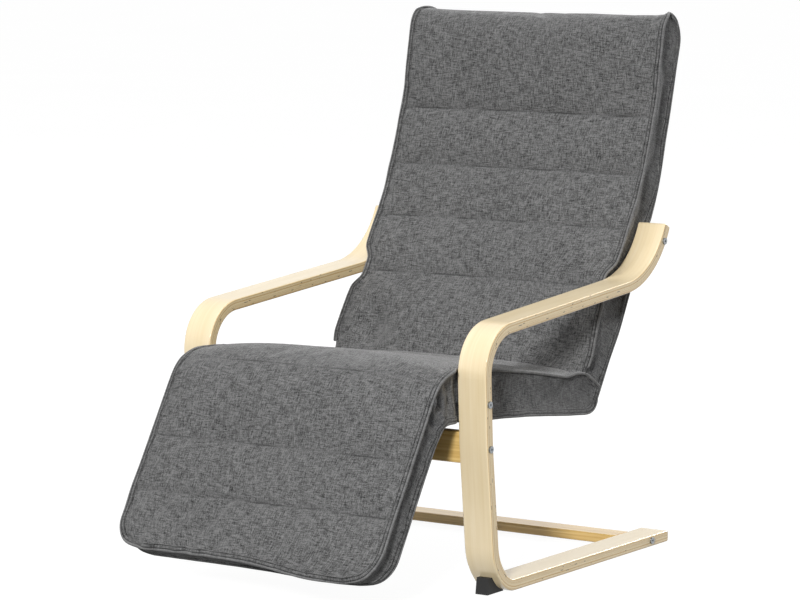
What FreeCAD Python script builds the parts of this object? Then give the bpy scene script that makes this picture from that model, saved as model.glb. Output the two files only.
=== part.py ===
import FreeCAD, Part
import math
import os

# Reclining armchair. Two bent plywood side frames carry a padded seat and back, and a padded
# footrest folds on ratchet hinges at the knee. One fabric cover wraps the inner wooden frame.
# Millimetres. X runs across (the sitter's left is +X), -Y to the front, +Z up.
# The origin is on the floor, under the middle of the plan outline.

# Bent side frames: corners of the outer face, from the arm's rear end to the runner's rear end
frame_width = 670.0
board_width = 60.0
board_thick = 21.0
board_edge_round = 2.5
board_end_round = 5.0
arm_end_y = 383.6
arm_end_z = 622.7
arm_rise_y = 339.4
arm_rise_z = 529.1
arm_rise_radius = 165.0
arm_front_y = -264.9
arm_front_z = 485.0
arm_front_radius = 91.0
leg_bow_y = -255.0
leg_bow_z = 272.0
leg_bow_radius = 500.0
toe_y = -232.6
toe_z = 56.0
toe_radius = 100.0
heel_y = -185.2
heel_radius = 59.0
runner_end_y = 406.2

# Crossbars between the side frames
front_bar_height = 58.0
front_bar_thick = 18.0
front_bar_z = 270.0
rear_bar_depth = 52.0
rear_bar_thick = 18.5
rear_bar_inset = 51.7
rear_bar_bolt_offset = 12.0
bar_edge_round = 3.0

# Rubber feet under the front bends
foot_width = 26.0
foot_front_y = -225.5
foot_height = 30.0
foot_rake = 4.0
foot_length = 54.0

# Seat, back and footrest: lines of the cover, and the wooden frame inside it
cover_side_room = 19.0
cover_board_gap = 4.0
cover_wall = 2.0
cover_room = 0.5
seat_slope = 6.64
seat_bolt_z = 351.0
seat_bolt_run = 446.0
seat_rear_thick = 76.0
back_thick = 76.0
back_high_lean = 16.4
back_low_run = 397.0
back_bend_radius = 400.0
back_top_z = 1014.0
head_swell = 12.0
head_swell_length = 170.0
pad_gap = 0.3
pad_face_gap = 1.0

rail_width = 24.0
rail_height = 36.0
seat_rail_setback = 46.0
upright_depth = 24.0
cross_rail_thick = 18.0
seat_rear_rail_run = 30.0
seat_front_rail_run = 372.0
seat_slat_count = 4
seat_slat_width = 55.0
slat_thick = 10.0
back_rail_width = 48.0
back_bottom_rail_run = 66.0
upright_drop = 52.0
back_top_rail_drop = 56.0
back_slat_count = 5
back_slat_width = 60.0
back_slat_recess = 2.0

# Knee hinges: axis ahead of the seat bolts and above them, and the footrest hung from it
hinge_ahead = 54.0
hinge_above = 11.0
knee_radius = 50.0
knee_pad_inner = 22.0
knee_pad_sweep = 90.0
footrest_drop = 58.0
footrest_length = 374.0
footrest_thick = 46.0
footrest_corner_radius = 58.0
footrest_rail_depth = 18.0
footrest_rail_start = 57.0
footrest_end_room = 38.0
footrest_slat_count = 3
footrest_slat_width = 52.0
plate_thick = 3.0
plate_play = 0.3
plate_eye_radius = 11.0
plate_tail_width = 18.0
plate_screw_pitch = 22.0
seat_plate_length = 106.0
footrest_plate_length = 126.0
pin_radius = 4.0
pin_play = 0.05
pin_head_radius = 7.0
pin_head_thick = 3.0
ratchet_radius = 13.0
ratchet_thick = 6.0
ratchet_step = 15.0
ratchet_notch_count = 5
ratchet_notch_radius = 1.6
detent_width = 5.0
detent_thick = 1.2
detent_length = 46.0

# Soft forms: crown of the front faces, drawn-in sides and sewn channels
back_crown = 13.0
seat_crown = 15.0
footrest_crown = 17.0
knee_crown = 8.0
side_draw = 4.0
channel_depth = 6.0
channel_spacing = 116.0
panel_shoulder = 0.18
back_head_panel = 200.0
footrest_first_channel = 164.0
footrest_channel_spacing = 108.0
seat_station_count = 5
knee_station_count = 6

# Fasteners: M6 furniture bolts with barrel nuts and spacers, and countersunk wood screws
bolt_radius = 3.0
bolt_hole_radius = 3.2
bolt_head_radius = 6.5
bolt_head_thick = 3.0
bolt_socket_across = 4.0
bolt_socket_depth = 2.0
arm_bolt_inset = 33.0
bar_bolt_grip = 45.0
bolt_tip_past_nut = 1.0
spacer_radius = 8.0
spacer_length = 10.0
barrel_radius = 5.0
barrel_length = 14.0
barrel_play = 0.05
screw_radius = 2.0
screw_head_radius = 4.0
screw_head_thick = 2.2
screw_length = 16.0
screw_play = 0.05
bracket_thick = 2.5
bracket_width = 18.0
bracket_seat_arm = 78.0
bracket_back_arm = 120.0

# Places worked out from the sizes above
frame_half = frame_width / 2
board_inner_x = frame_half - board_width
rail_outer_x = board_inner_x - spacer_length
rail_inner_x = rail_outer_x - rail_width
cover_half_width = rail_outer_x + cover_side_room
cover_pinched_x = board_inner_x - cover_board_gap
cover_inner_x = cover_half_width - cover_wall
frame_low = cover_wall + cover_room
rail_top = frame_low + rail_height
upright_front = frame_low + upright_depth

os.makedirs("parts", exist_ok=True)


def add(point, direction, distance):
    """A point of the side view moved along a direction."""
    return (point[0] + direction[0] * distance, point[1] + direction[1] * distance)


def unit(start, end):
    """The direction from one point of the side view to another."""
    length = math.hypot(end[0] - start[0], end[1] - start[1])
    return ((end[0] - start[0]) / length, (end[1] - start[1]) / length)


def at_x(x, point):
    """A point of the side view placed across the chair."""
    return FreeCAD.Vector(x, point[0], point[1])


def line(start, end):
    return Part.LineSegment(start, end).toShape()


def arc(start, middle, end):
    return Part.Arc(start, middle, end).toShape()


def rounded_edges(corners):
    """Straight runs joined by tangent arcs, through (y, z, radius) corners of the side view."""
    edges = []
    start = corners[0][:2]
    for before, corner, after in zip(corners, corners[1:], corners[2:]):
        into = unit(before, corner)
        out = unit(corner, after)
        half_turn = math.acos(into[0] * out[0] + into[1] * out[1]) / 2
        reach = corner[2] * math.tan(half_turn)
        inward = unit(into, out)
        first = add(corner, into, -reach)
        last = add(corner, out, reach)
        middle = add(corner, inward, corner[2] / math.cos(half_turn) - corner[2])
        edges.append(line(at_x(0, start), at_x(0, first)))
        edges.append(arc(at_x(0, first), at_x(0, middle), at_x(0, last)))
        start = last
    edges.append(line(at_x(0, start), at_x(0, corners[-1])))
    return edges


def offset_corners(corners, distance):
    """The same corners moved to the left of the path, with concentric bends."""
    moved = []
    for index, corner in enumerate(corners):
        before = corners[max(index - 1, 0)]
        after = corners[min(index + 1, len(corners) - 1)]
        into = unit(before, corner) if index else unit(corner, after)
        out = unit(corner, after) if index + 1 < len(corners) else into
        across = (-into[1] - out[1], into[0] + out[0])
        half_cosine = math.hypot(across[0], across[1]) / 2
        place = add(corner, across, distance / (2 * half_cosine ** 2))
        turns_left = into[0] * out[1] - into[1] * out[0] > 0
        radius = corner[2] - distance if turns_left else corner[2] + distance
        moved.append((place[0], place[1], radius))
    return moved


def slab(edges, low_x, high_x):
    """A flat outline in the side view, thickened across the chair."""
    face = Part.Face(Part.Wire(edges))
    face.translate(FreeCAD.Vector(low_x, 0, 0))
    return face.extrude(FreeCAD.Vector(high_x - low_x, 0, 0))


def polygon(points, low_x, high_x):
    """A straight-sided outline in the side view, thickened across the chair."""
    corners = [at_x(0, point) for point in points]
    corners.append(corners[0])
    return slab([line(a, b) for a, b in zip(corners, corners[1:])], low_x, high_x)


def rod(radius, point, low_x, high_x):
    """A round bar that runs across the chair."""
    return Part.makeCylinder(radius, high_x - low_x, at_x(low_x, point), FreeCAD.Vector(1, 0, 0))


def mirrored(shape):
    return shape.mirror(FreeCAD.Vector(0, 0, 0), FreeCAD.Vector(1, 0, 0))


def save(name, shape):
    shape.exportStep("parts/" + name + ".step")


def save_pair(name, left):
    """The left piece and its mirror image, as two nodes."""
    save("left_" + name, left)
    save("right_" + name, mirrored(left))


def save_group(name, left_solids):
    """Like fasteners of both sides, as one node of separate solids."""
    right_solids = [mirrored(solid) for solid in left_solids]
    save(name, Part.makeCompound(left_solids + right_solids))


def height_on(start, end, z):
    """Where a straight run of the side view is at a height."""
    share = (z - start[1]) / (end[1] - start[1])
    return start[0] + share * (end[0] - start[0])


# Side view of the bent board
board_outer = [
    (arm_end_y, arm_end_z, 0),
    (arm_rise_y, arm_rise_z, arm_rise_radius),
    (arm_front_y, arm_front_z, arm_front_radius),
    (leg_bow_y, leg_bow_z, leg_bow_radius),
    (toe_y, toe_z, toe_radius),
    (heel_y, 0, heel_radius),
    (runner_end_y, 0, 0),
]
board_middle = offset_corners(board_outer, board_thick / 2)
board_inner = offset_corners(board_outer, board_thick)


def leg_middle(z):
    """The middle of the leg's thickness at a height."""
    upper = z >= board_middle[3][1]
    start, end = (board_middle[2], board_middle[3]) if upper else (board_middle[3], board_middle[4])
    return (height_on(start, end, z), z)


seat_bolt = leg_middle(seat_bolt_z)
front_bar_bolt = leg_middle(front_bar_z)
arm_bolt = add(board_middle[0], unit(board_middle[0], board_middle[1]), arm_bolt_inset)
rear_bar_middle_y = runner_end_y - rear_bar_inset - rear_bar_depth / 2
rear_bar_middle_z = board_thick - rear_bar_thick / 2
rear_bar_bolt = (rear_bar_middle_y + rear_bar_bolt_offset, rear_bar_middle_z)

# The seat's own lines: run to the front along its underside, and height square to it
seat_angle = math.radians(seat_slope)
seat_forward = (-math.cos(seat_angle), math.sin(seat_angle))
seat_up = (math.sin(seat_angle), math.cos(seat_angle))
rail_middle = frame_low + rail_height / 2
seat_corner = add(add(seat_bolt, seat_forward, -seat_bolt_run), seat_up, -rail_middle)


def seat(run, height):
    return add(add(seat_corner, seat_forward, run), seat_up, height)


# The back's own lines: run up its rear face, and depth in front of that face
upright_middle = frame_low + upright_depth / 2
bolt_reach = math.hypot(arm_bolt[0] - seat_corner[0], arm_bolt[1] - seat_corner[1])
bolt_lean = math.atan2(arm_bolt[0] - seat_corner[0], arm_bolt[1] - seat_corner[1])
low_lean = bolt_lean + math.asin(upright_middle / bolt_reach)
high_lean = math.radians(back_high_lean)
back_bend_run = back_bend_radius * (low_lean - high_lean)
back_high_start = back_low_run + back_bend_run


def back(run, depth):
    lean = low_lean - min(max(run - back_low_run, 0), back_bend_run) / back_bend_radius
    place = add(seat_corner, (math.sin(low_lean), math.cos(low_lean)), min(run, back_low_run))
    place = add(place, (-math.cos(low_lean), math.sin(low_lean)), back_bend_radius)
    place = add(place, (-math.cos(lean), math.sin(lean)), depth - back_bend_radius)
    return add(place, (math.sin(lean), math.cos(lean)), max(run - back_high_start, 0))


def back_run_on_seat(depth, height):
    """How far up the back a line at some depth crosses a height of the seat."""
    lean_to_seat = low_lean - seat_angle
    return (height - depth * math.sin(lean_to_seat)) / math.cos(lean_to_seat)


def back_run_at_top(depth):
    """How far up the back a line at some depth reaches the level top."""
    return back_high_start + (back_top_z - back(back_high_start, depth)[1]) / math.cos(high_lean)


def back_line(depth, start_run, end_run):
    """The back's line at some depth: straight, bent, straight."""
    stops = [start_run, back_low_run, back_low_run + back_bend_run / 2, back_high_start, end_run]
    points = [at_x(0, back(run, depth)) for run in stops]
    return [line(points[0], points[1]), arc(points[1], points[2], points[3]), line(points[3], points[4])]


def back_slab(rear_depth, front_depth, foot_height_on_seat, top_drop, low_x, high_x):
    """A bent slab of the back between two depths, from the seat's frame to below the level top."""
    rear_start = back_run_on_seat(rear_depth, foot_height_on_seat)
    front_start = back_run_on_seat(front_depth, foot_height_on_seat)
    rear_end = back_run_at_top(rear_depth) - top_drop
    front_end = back_run_at_top(front_depth) - top_drop
    edges = back_line(rear_depth, rear_start, rear_end)
    edges.append(line(at_x(0, back(rear_end, rear_depth)), at_x(0, back(front_end, front_depth))))
    edges += reversed(back_line(front_depth, front_start, front_end))
    edges.append(line(at_x(0, back(front_start, front_depth)), at_x(0, back(rear_start, rear_depth))))
    return slab(edges, low_x, high_x)


# The footrest's own lines: run from the hinge axis, and height in front of it
hinge = seat(seat_bolt_run + hinge_ahead, rail_middle + hinge_above)
hinge_run = seat_bolt_run + hinge_ahead
hinge_height = rail_middle + hinge_above
drop_angle = math.radians(footrest_drop)
footrest_forward = (-math.cos(drop_angle), -math.sin(drop_angle))
footrest_up = (-math.sin(drop_angle), math.cos(drop_angle))
footrest_rear = knee_radius - footrest_thick
footrest_frame_low = footrest_rear + frame_low
footrest_frame_top = footrest_frame_low + footrest_rail_depth


def footrest(run, height):
    return add(add(hinge, footrest_forward, run), footrest_up, height)


def knee(angle, radius):
    """A point round the hinge axis, by the angle forward from the seat's upright direction."""
    turn = math.radians(angle)
    return seat(hinge_run + radius * math.sin(turn), hinge_height + radius * math.cos(turn))


# Fasteners
def bolt(point, tip_x):
    """A bolt from the outer face of the side frame inwards, with a hexagon socket in its head."""
    shank = rod(bolt_radius, point, tip_x, frame_half)
    head = rod(bolt_head_radius, point, frame_half, frame_half + bolt_head_thick)
    socket_corners = []
    for corner in range(6):
        angle = math.radians(60 * corner)
        reach = bolt_socket_across / 2 / math.cos(math.radians(30))
        socket_corners.append((point[0] + reach * math.cos(angle), point[1] + reach * math.sin(angle)))
    head_face = frame_half + bolt_head_thick
    socket = polygon(socket_corners, head_face - bolt_socket_depth, head_face)
    return shank.fuse(head).cut(socket).removeSplitter()


def barrel(point, x, direction, radius, length):
    """A barrel nut, or the hole for one, centred on the bolt's line."""
    axis = at_x(0, direction)
    start = at_x(x, add(point, direction, -length / 2))
    return Part.makeCylinder(radius, length, start, axis)


def barrel_nut(point, x, direction):
    blank = barrel(point, x, direction, barrel_radius, barrel_length)
    return blank.cut(rod(bolt_radius, point, x - barrel_radius, x + barrel_radius))


def barrel_hole(point, x, direction):
    hole_length = barrel_length + 2 * barrel_play
    return barrel(point, x, direction, barrel_radius + barrel_play, hole_length)


def screw(point, face_x, inward):
    """A countersunk wood screw whose head lies flush in a plate."""
    direction = FreeCAD.Vector(inward, 0, 0)
    head = Part.makeCylinder(screw_head_radius, screw_head_thick, at_x(face_x, point), direction)
    shank = Part.makeCylinder(screw_radius, screw_length, at_x(face_x, point), direction)
    return head.fuse(shank).removeSplitter()


def screw_hole(point, face_x, inward):
    direction = FreeCAD.Vector(inward, 0, 0)
    head_depth = screw_head_thick + screw_play
    head = Part.makeCylinder(screw_head_radius + screw_play, head_depth, at_x(face_x, point), direction)
    shank_length = screw_length + screw_play
    shank = Part.makeCylinder(screw_radius + screw_play, shank_length, at_x(face_x, point), direction)
    return head.fuse(shank)


frame_nut_x = rail_outer_x - rail_width / 2
frame_bolt_tip_x = frame_nut_x - barrel_radius - bolt_tip_past_nut
bar_nut_x = board_inner_x - bar_bolt_grip + barrel_radius
bar_bolt_tip_x = board_inner_x - bar_bolt_grip
level = (1, 0)
upward = (0, 1)
arm_nut_direction = (-math.cos(low_lean), math.sin(low_lean))


# Side frames, each one bent board with its ends and edges rounded
def end_rounded(corners):
    """The same corners with the board's end radius at the first and the last."""
    first, last = corners[0], corners[-1]
    ends = ((first[0], first[1], board_end_round), (last[0], last[1], board_end_round))
    return [ends[0]] + corners[1:-1] + [ends[1]]


board_start = (board_middle[0][0], board_middle[0][1], 0)
board_outline = rounded_edges([board_start] + end_rounded(board_outer) + end_rounded(board_inner[::-1])
                              + [board_start])
plain_board = slab(board_outline, board_inner_x, frame_half)
board_side_edges = [edge for edge in plain_board.Edges if edge.BoundBox.XLength < 0.01]
side_frame = plain_board.makeFillet(board_edge_round, board_side_edges)
for bolt_place in (arm_bolt, seat_bolt, front_bar_bolt, rear_bar_bolt):
    side_frame = side_frame.cut(rod(bolt_hole_radius, bolt_place, board_inner_x, frame_half))
save_pair("side_frame", side_frame)

# Front crossbar: a board on edge between the legs, in line with their thickness
front_bar_low = leg_middle(front_bar_z - front_bar_height / 2)
front_bar_high = leg_middle(front_bar_z + front_bar_height / 2)
bar_rise = unit(front_bar_low, front_bar_high)
bar_across = (-bar_rise[1], bar_rise[0])
front_bar = polygon([
    add(front_bar_low, bar_across, -front_bar_thick / 2),
    add(front_bar_high, bar_across, -front_bar_thick / 2),
    add(front_bar_high, bar_across, front_bar_thick / 2),
    add(front_bar_low, bar_across, front_bar_thick / 2),
], -board_inner_x, board_inner_x)
long_edges = [edge for edge in front_bar.Edges if edge.BoundBox.XLength > board_inner_x]
front_bar = front_bar.makeFillet(bar_edge_round, long_edges)

# Rear crossbar: a flat board between the runners, flush with their tops
rear_bar = polygon([
    (rear_bar_middle_y - rear_bar_depth / 2, board_thick - rear_bar_thick),
    (rear_bar_middle_y + rear_bar_depth / 2, board_thick - rear_bar_thick),
    (rear_bar_middle_y + rear_bar_depth / 2, board_thick),
    (rear_bar_middle_y - rear_bar_depth / 2, board_thick),
], -board_inner_x, board_inner_x)
long_edges = [edge for edge in rear_bar.Edges if edge.BoundBox.XLength > board_inner_x]
rear_bar = rear_bar.makeFillet(bar_edge_round, long_edges)

front_hole = rod(bolt_hole_radius, front_bar_bolt, bar_bolt_tip_x, board_inner_x)
front_hole = front_hole.fuse(barrel_hole(front_bar_bolt, bar_nut_x, level))
rear_hole = rod(bolt_hole_radius, rear_bar_bolt, bar_bolt_tip_x, board_inner_x)
rear_hole = rear_hole.fuse(barrel_hole(rear_bar_bolt, bar_nut_x, upward))
save("front_crossbar", front_bar.cut(front_hole).cut(mirrored(front_hole)))
save("rear_crossbar", rear_bar.cut(rear_hole).cut(mirrored(rear_hole)))

# Rubber feet: wedges between the front bends and the floor
foot_middle_x = board_inner_x + board_width / 2
foot_block = polygon([
    (foot_front_y, 0),
    (foot_front_y + foot_rake, foot_height),
    (foot_front_y + foot_length / 2, foot_height),
    (foot_front_y + foot_length, 0),
], foot_middle_x - foot_width / 2, foot_middle_x + foot_width / 2)
save_pair("front_foot", foot_block.cut(plain_board))

# Bolts, barrel nuts and spacers that hold the frames together
save_group("arm_bolts", [bolt(arm_bolt, frame_bolt_tip_x)])
save_group("seat_bolts", [bolt(seat_bolt, frame_bolt_tip_x)])
save_group("front_crossbar_bolts", [bolt(front_bar_bolt, bar_bolt_tip_x)])
save_group("rear_crossbar_bolts", [bolt(rear_bar_bolt, bar_bolt_tip_x)])
save_group("barrel_nuts", [
    barrel_nut(arm_bolt, frame_nut_x, arm_nut_direction),
    barrel_nut(seat_bolt, frame_nut_x, seat_up),
    barrel_nut(front_bar_bolt, bar_nut_x, level),
    barrel_nut(rear_bar_bolt, bar_nut_x, upward),
])
spacers = []
for bolt_place in (arm_bolt, seat_bolt):
    spacer = rod(spacer_radius, bolt_place, rail_outer_x, board_inner_x)
    spacers.append(spacer.cut(rod(bolt_hole_radius, bolt_place, rail_outer_x, board_inner_x)))
save_group("bolt_spacers", spacers)


def frame_bolt_hole(point, nut_direction):
    """The bolt and barrel nut holes in a rail or upright."""
    hole = rod(bolt_hole_radius, point, frame_bolt_tip_x, rail_outer_x)
    return hole.fuse(barrel_hole(point, frame_nut_x, nut_direction))


# Corner brackets: flat steel on the outer faces, from each seat rail up its back upright
bracket_face_x = rail_outer_x + bracket_thick
bracket_low = rail_middle - bracket_width / 2
bracket_high = rail_middle + bracket_width / 2
bracket_near = upright_middle - bracket_width / 2
bracket_far = upright_middle + bracket_width / 2
bracket_root = back_run_on_seat(upright_middle, rail_middle)
bracket = polygon([
    seat(0, bracket_low),
    seat(bracket_seat_arm, bracket_low),
    seat(bracket_seat_arm, bracket_high),
    seat(0, bracket_high),
], rail_outer_x, bracket_face_x)
bracket = bracket.fuse(polygon([
    back(bracket_root, bracket_near),
    back(bracket_back_arm, bracket_near),
    back(bracket_back_arm, bracket_far),
    back(bracket_root, bracket_far),
], rail_outer_x, bracket_face_x)).removeSplitter()
bracket_screw_places = [
    seat(bracket_seat_arm - bracket_width / 2, rail_middle),
    seat(bracket_seat_arm - 2 * bracket_width, rail_middle),
    back(bracket_back_arm - bracket_width / 2, upright_middle),
    back(bracket_back_arm - 2 * bracket_width, upright_middle),
]
bracket_holes = [screw_hole(place, bracket_face_x, -1) for place in bracket_screw_places]
for hole in bracket_holes:
    bracket = bracket.cut(hole)
save_pair("corner_bracket", bracket)
save_group("bracket_screws", [screw(place, bracket_face_x, -1) for place in bracket_screw_places])

# Knee hinge, seat half: a steel plate on the rail's inner face, the pin and the ratchet wheel
seat_plate_inner_x = rail_inner_x - plate_thick
plate_tail = seat_plate_length - plate_eye_radius
seat_plate = polygon([
    seat(hinge_run - plate_tail, rail_middle - plate_tail_width / 2),
    seat(hinge_run - plate_tail / 2, rail_middle - plate_tail_width / 2),
    seat(hinge_run, hinge_height - plate_eye_radius),
    seat(hinge_run, hinge_height + plate_eye_radius),
    seat(hinge_run - plate_tail / 2, rail_middle + plate_tail_width / 2),
    seat(hinge_run - plate_tail, rail_middle + plate_tail_width / 2),
], seat_plate_inner_x, rail_inner_x)
seat_plate_eye = rod(plate_eye_radius, hinge, seat_plate_inner_x, rail_inner_x)
seat_plate = seat_plate.fuse(seat_plate_eye).removeSplitter()
seat_plate = seat_plate.cut(rod(pin_radius, hinge, seat_plate_inner_x, rail_inner_x))
seat_plate_screw_places = [
    seat(hinge_run - plate_tail + plate_tail_width / 2, rail_middle),
    seat(hinge_run - plate_tail + plate_tail_width / 2 + plate_screw_pitch, rail_middle),
]
seat_plate_holes = [screw_hole(place, seat_plate_inner_x, 1) for place in seat_plate_screw_places]
for hole in seat_plate_holes:
    seat_plate = seat_plate.cut(hole)
save_pair("hinge_seat_plate", seat_plate)
save_group("hinge_seat_screws", [screw(place, seat_plate_inner_x, 1) for place in seat_plate_screw_places])

footrest_plate_outer_x = seat_plate_inner_x - plate_play
footrest_plate_inner_x = footrest_plate_outer_x - plate_thick
ratchet_outer_x = footrest_plate_inner_x - plate_play
ratchet_inner_x = ratchet_outer_x - ratchet_thick
pin = rod(pin_radius, hinge, ratchet_inner_x, rail_inner_x)
pin_head = rod(pin_head_radius, hinge, rail_inner_x, rail_inner_x + pin_head_thick)
save_pair("hinge_pin", pin.fuse(pin_head).removeSplitter())

# The notches lie under the footrest's own line, one for each of its positions
ratchet = rod(ratchet_radius, hinge, ratchet_inner_x, ratchet_outer_x)
for position in range(ratchet_notch_count):
    notch_angle = 90 + seat_slope + footrest_drop - ratchet_step * position
    ratchet = ratchet.cut(rod(ratchet_notch_radius, knee(notch_angle, ratchet_radius),
                              ratchet_inner_x, ratchet_outer_x))
save_pair("ratchet_wheel", ratchet.cut(rod(pin_radius, hinge, ratchet_inner_x, ratchet_outer_x)))

# Seat frame: two side rails, two cross rails and slats let in flush with the rail tops
seat_rail_end = hinge_run - seat_rail_setback
seat_rail = polygon([
    back(back_run_on_seat(frame_low, frame_low), frame_low),
    back(back_run_on_seat(frame_low, rail_top), frame_low),
    seat(seat_rail_end, rail_top),
    seat(seat_rail_end, frame_low),
], rail_inner_x, rail_outer_x)
seat_rail = seat_rail.cut(frame_bolt_hole(seat_bolt, seat_up))
for hole in bracket_holes + seat_plate_holes:
    seat_rail = seat_rail.cut(hole)
save_pair("seat_rail", seat_rail)


def seat_box(start, end, low, high):
    """A cross piece of the seat between the side rails."""
    return polygon([seat(start, low), seat(end, low), seat(end, high), seat(start, high)],
                   -rail_inner_x, rail_inner_x)


seat_rear_rail_end = seat_rear_rail_run + cross_rail_thick
save("seat_rear_rail", seat_box(seat_rear_rail_run, seat_rear_rail_end, frame_low, rail_top))
seat_front_rail_end = seat_front_rail_run + cross_rail_thick
save("seat_front_rail", seat_box(seat_front_rail_run, seat_front_rail_end, frame_low, rail_top))
seat_slat_room = seat_front_rail_run - seat_rear_rail_end
seat_slat_gap = (seat_slat_room - seat_slat_count * seat_slat_width) / (seat_slat_count + 1)
for slat in range(seat_slat_count):
    slat_start = seat_rear_rail_end + seat_slat_gap + slat * (seat_slat_width + seat_slat_gap)
    seat_slat = seat_box(slat_start, slat_start + seat_slat_width, rail_top - slat_thick, rail_top)
    save("seat_slat_%d" % (slat + 1), seat_slat)

# Back frame: two bent uprights that stand on the seat rails, top and bottom rails, and slats
upright = back_slab(frame_low, upright_front, rail_top, upright_drop, rail_inner_x, rail_outer_x)
upright = upright.cut(frame_bolt_hole(arm_bolt, arm_nut_direction))
for hole in bracket_holes:
    upright = upright.cut(hole)
save_pair("back_upright", upright)


def back_box(start, end, rear_depth, front_depth):
    """A cross piece of the back between the uprights."""
    return polygon([back(start, rear_depth), back(end, rear_depth), back(end, front_depth),
                    back(start, front_depth)], -rail_inner_x, rail_inner_x)


back_top_rail_end = back_run_at_top(upright_front) - back_top_rail_drop
back_top_rail_start = back_top_rail_end - back_rail_width
back_bottom_rail_end = back_bottom_rail_run + back_rail_width
save("back_bottom_rail", back_box(back_bottom_rail_run, back_bottom_rail_end, frame_low, upright_front))
save("back_top_rail", back_box(back_top_rail_start, back_top_rail_end, frame_low, upright_front))
back_slat_front = upright_front - back_slat_recess
back_slat_room = back_top_rail_start - back_bottom_rail_end
back_slat_gap = (back_slat_room - back_slat_count * back_slat_width) / (back_slat_count + 1)
for slat in range(back_slat_count):
    slat_start = back_bottom_rail_end + back_slat_gap + slat * (back_slat_width + back_slat_gap)
    back_slat = back_box(slat_start, slat_start + back_slat_width,
                         back_slat_front - slat_thick, back_slat_front)
    save("back_slat_%d" % (slat + 1), back_slat)

# Cover behind the pads: rear panel and boxing round the frame, pinched in at the boards,
# with holes for the bolt spacers
spacer_holes = []
for bolt_place in (arm_bolt, seat_bolt):
    hole = rod(spacer_radius + pad_gap, bolt_place, rail_outer_x, board_inner_x)
    spacer_holes.append(hole)
    spacer_holes.append(mirrored(hole))


def room_for_boards(margin, from_x):
    """The space round both bent boards in which the cover is pinched in."""
    outer = offset_corners(board_outer, -margin)
    inner = offset_corners(board_outer, board_thick + margin)
    past_end = unit(board_outer[1], board_outer[0])
    outer[0] = add(outer[0], past_end, margin) + (0,)
    inner[0] = add(inner[0], past_end, margin) + (0,)
    end_line = [line(at_x(0, outer[0]), at_x(0, inner[0]))]
    rear_line = [line(at_x(0, inner[-1]), at_x(0, outer[-1]))]
    outline = end_line + rounded_edges(inner) + rear_line + rounded_edges(outer[::-1])
    room = slab(outline, from_x, frame_half)
    return room.fuse(mirrored(room))


pinch = room_for_boards(cover_board_gap, cover_pinched_x)
inner_pinch = room_for_boards(cover_board_gap + cover_wall, cover_pinched_x - cover_wall)

back_cover = back_slab(0, upright_front, rail_top + pad_gap, 0, -cover_half_width, cover_half_width)
back_hollow = back_slab(cover_wall, upright_front + cover_wall, rail_top - cover_wall, cover_wall,
                        -cover_inner_x, cover_inner_x)
back_cover = back_cover.cut(pinch).cut(back_hollow.cut(inner_pinch))

seat_cover_end = hinge_run - plate_eye_radius
seat_cover = polygon([
    seat(0, 0),
    back(back_run_on_seat(0, rail_top), 0),
    seat(seat_cover_end, rail_top),
    seat(seat_cover_end, 0),
], -cover_half_width, cover_half_width)
seat_hollow = polygon([
    back(back_run_on_seat(cover_wall, cover_wall), cover_wall),
    back(back_run_on_seat(cover_wall, rail_top + cover_wall), cover_wall),
    seat(hinge_run, rail_top + cover_wall),
    seat(hinge_run, cover_wall),
], -cover_inner_x, cover_inner_x)
seat_cover = seat_cover.cut(pinch).cut(seat_hollow.cut(inner_pinch))
for hole in spacer_holes:
    back_cover = back_cover.cut(hole)
    seat_cover = seat_cover.cut(hole)
save("back_cover", back_cover)
save("seat_cover", seat_cover)


# Pads
def pad_section(rear, front, half_width, crown, draw):
    """One cut across a pad: flat rear, drawn-in sides and a crowned front."""
    outward = unit(rear, front)
    middle = ((rear[0] + front[0]) / 2, (rear[1] + front[1]) / 2)
    drawn = half_width - draw
    peak = at_x(0, add(front, outward, crown))
    rear_left = at_x(half_width, rear)
    rear_right = at_x(-half_width, rear)
    front_left = at_x(half_width, front)
    front_right = at_x(-half_width, front)
    return Part.Wire([
        line(rear_right, rear_left),
        arc(rear_left, at_x(drawn, middle), front_left),
        arc(front_left, peak, front_right),
        arc(front_right, at_x(-drawn, middle), rear_right),
    ])


def panel_places(seams):
    """Stations along a pad, with the share of the channel depth that each is drawn in."""
    places = [(seams[0], 0.0)]
    for start, end in zip(seams, seams[1:]):
        for share in (panel_shoulder, 0.5, 1 - panel_shoulder):
            places.append((start + share * (end - start), abs(2 * share - 1) ** 3))
        places.append((end, 1.0))
    places[-1] = (seams[-1], 0.0)
    return places


def narrowing(share):
    """How much of the side draw applies at a share of a pad's length: none at its two ends."""
    return 4 * share * (1 - share)


# Back pad: rests on the seat rails and slats, sewn across in channels, level at the top
back_pad_rear = upright_front + pad_gap
pad_foot = rail_top + pad_gap
back_front_top = back_run_at_top(back_thick + head_swell)
first_seam = back_front_top - back_head_panel
back_seams = [first_seam - channel_spacing * seam for seam in (3, 2, 1, 0)]


def back_pad(extra, foot):
    """The back pad standing on a height of the seat, its face moved forward by an extra depth."""
    front_foot = back_run_on_seat(back_thick + extra, foot)
    sections = []
    for run, sunk in panel_places([front_foot] + back_seams + [back_front_top]):
        share = (run - front_foot) / (back_front_top - front_foot)
        rear_run = run
        if share == 0:
            rear_run = back_run_on_seat(back_pad_rear, foot)
        if share == 1:
            rear_run = back_run_at_top(back_pad_rear)
        swell = min(max(run - back_front_top + head_swell_length, 0) / head_swell_length, 1) * head_swell
        front_depth = back_thick + extra + swell - channel_depth * sunk
        half_width = cover_half_width - side_draw * narrowing(share)
        crown = knee_crown + (back_crown - knee_crown) * narrowing(share)
        sections.append(pad_section(back(rear_run, back_pad_rear), back(run, front_depth),
                                    half_width, crown, side_draw))
    return Part.makeLoft(sections, True, True)


save("back_cushion", back_pad(0, pad_foot).cut(pinch))

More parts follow.
